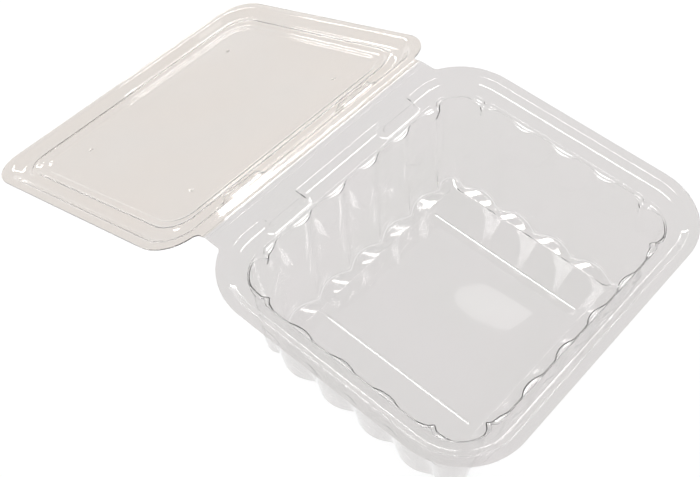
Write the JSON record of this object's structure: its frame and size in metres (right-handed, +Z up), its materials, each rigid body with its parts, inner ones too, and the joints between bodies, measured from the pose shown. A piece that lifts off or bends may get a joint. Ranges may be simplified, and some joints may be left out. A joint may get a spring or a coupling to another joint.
{
  "type": "plastic clamshell pack",
  "caption": "Clear plastic hinged clamshell food pack, shown open: a deep fluted tray with a stepped rim and a shallow lid on a live hinge",
  "frame": {"origin": "middle of the open pack's footprint, on the surface that it stands on", "axes": "+X along the hinge, +Y from the tray's front to the lid's far edge, +Z up"},
  "size_m": [0.21, 0.3546, 0.069],
  "materials": {
    "clear_sheet": "clear, glossy thermoformed sheet"
  },
  "bodies": {
    "tray": {"base_tray": "clear_sheet"},
    "lid": {"lid": "clear_sheet"}
  },
  "joints": [
    {"name": "lid_hinge", "type": "hinge", "parent": "tray", "child": "lid", "pos_m": [0, 0.0066, 0.06915], "axis": [1, 0, 0], "range_deg": [0, 201.79]}
  ]
}
